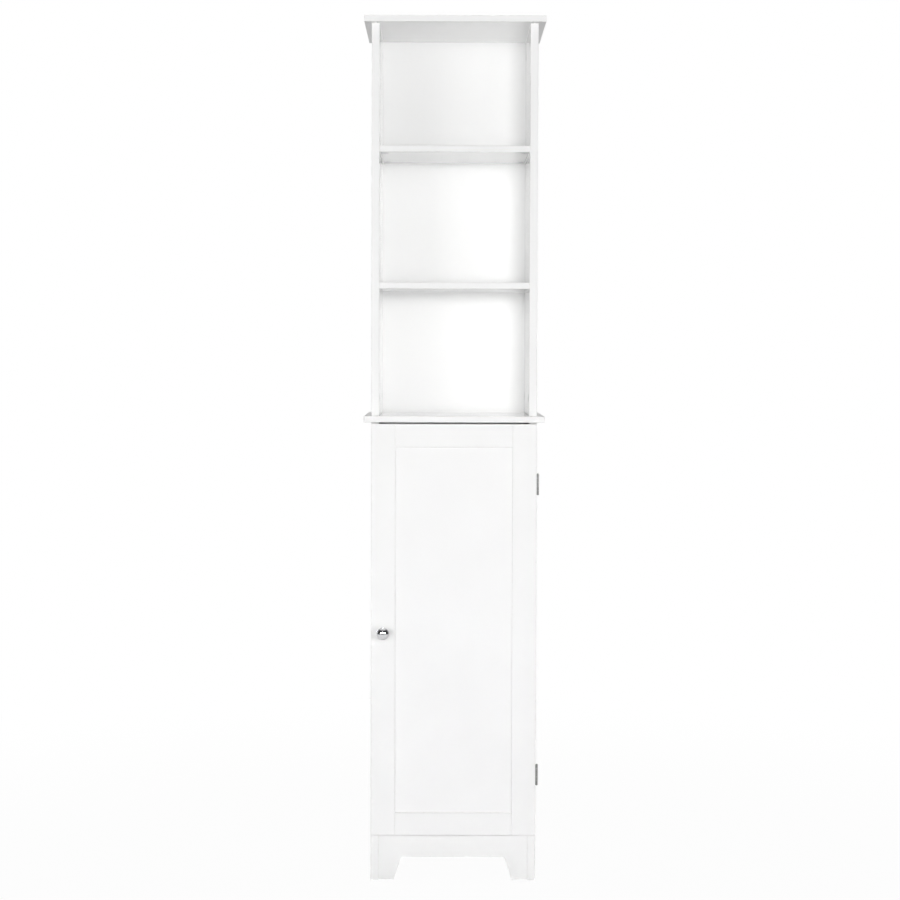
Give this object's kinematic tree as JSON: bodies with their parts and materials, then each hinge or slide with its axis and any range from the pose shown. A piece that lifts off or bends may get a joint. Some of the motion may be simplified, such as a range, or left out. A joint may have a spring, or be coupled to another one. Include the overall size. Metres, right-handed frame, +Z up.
{
  "type": "linen cabinet",
  "caption": "Tall narrow white bathroom linen cabinet: open shelves above, a cupboard with one framed door below, overhanging boards and an arched skirt with feet.",
  "frame": {"origin": "on the floor, under the middle of the cabinet's outline with its knob", "axes": "+X to the viewer's right (hinge side), +Y from the front to the wall behind, +Z up"},
  "size_m": [0.346, 0.321, 1.66],
  "materials": {
    "painted_board": "satin white lacquer on fibreboard",
    "painted_backing": "white painted thin hardboard",
    "knob_chrome": "polished",
    "hinge_steel": "nickel plated",
    "zinc": "zinc plated",
    "plate_steel": "plain steel",
    "dowel_wood": "bare beech",
    "white_plastic": "moulded",
    "magnet": "sintered ferrite"
  },
  "bodies": {
    "cabinet": {"top_board": "painted_board", "middle_board": "painted_board", "bottom_board": "painted_board", "upper_side_left": "painted_board", "upper_side_right": "painted_board", "lower_side_left": "painted_board", "lower_side_right": "painted_board", "upper_shelf_high": "painted_board", "upper_shelf_low": "painted_board", "front_skirt": "painted_board", "upper_back_panel": "painted_backing", "lower_back_panel": "painted_backing", "hinge_top_frame_leaf": "hinge_steel", "hinge_top_pin": "hinge_steel", "hinge_bottom_frame_leaf": "hinge_steel", "hinge_bottom_pin": "hinge_steel", "hinge_frame_screws": "hinge_steel", "cam_locks_upper": "zinc", "cam_locks_shelves": "zinc", "cam_locks_lower": "zinc", "cam_bolts_upper": "zinc", "cam_bolts_shelves": "zinc", "cam_bolts_lower": "zinc", "shelf_pegs_high": "zinc", "shelf_pegs_low": "zinc", "back_panel_nails": "zinc", "catch_screws": "zinc", "catch_pole_plate_outer": "plate_steel", "catch_pole_plate_inner": "plate_steel", "dowels_upper": "dowel_wood", "dowels_shelves": "dowel_wood", "dowels_lower": "dowel_wood", "catch_case": "white_plastic", "catch_magnet": "magnet"},
    "door": {"door_stile_left": "painted_board", "door_stile_right": "painted_board", "door_rail_top": "painted_board", "door_rail_bottom": "painted_board", "door_panel": "painted_board", "door_knob": "knob_chrome", "knob_screw": "zinc", "hinge_top_door_leaf": "hinge_steel", "hinge_bottom_door_leaf": "hinge_steel", "hinge_door_screws": "hinge_steel", "strike_plate": "plate_steel", "strike_screw": "zinc"},
    "shelf_high": {"inner_shelf_high": "painted_board"},
    "shelf_low": {"inner_shelf_low": "painted_board"}
  },
  "joints": [
    {"name": "door_hinge", "type": "hinge", "parent": "cabinet", "child": "door", "pos_m": [0.1614, -0.119, 0.488], "axis": [0, 0, 1], "range_deg": [0, 180]},
    {"name": "shelf_high_lift", "type": "slide", "parent": "cabinet", "child": "shelf_high", "axis": [0, 0, 1], "range_m": [0, 0.05]},
    {"name": "shelf_low_lift", "type": "slide", "parent": "cabinet", "child": "shelf_low", "axis": [0, 0, 1], "range_m": [0, 0.05]}
  ]
}
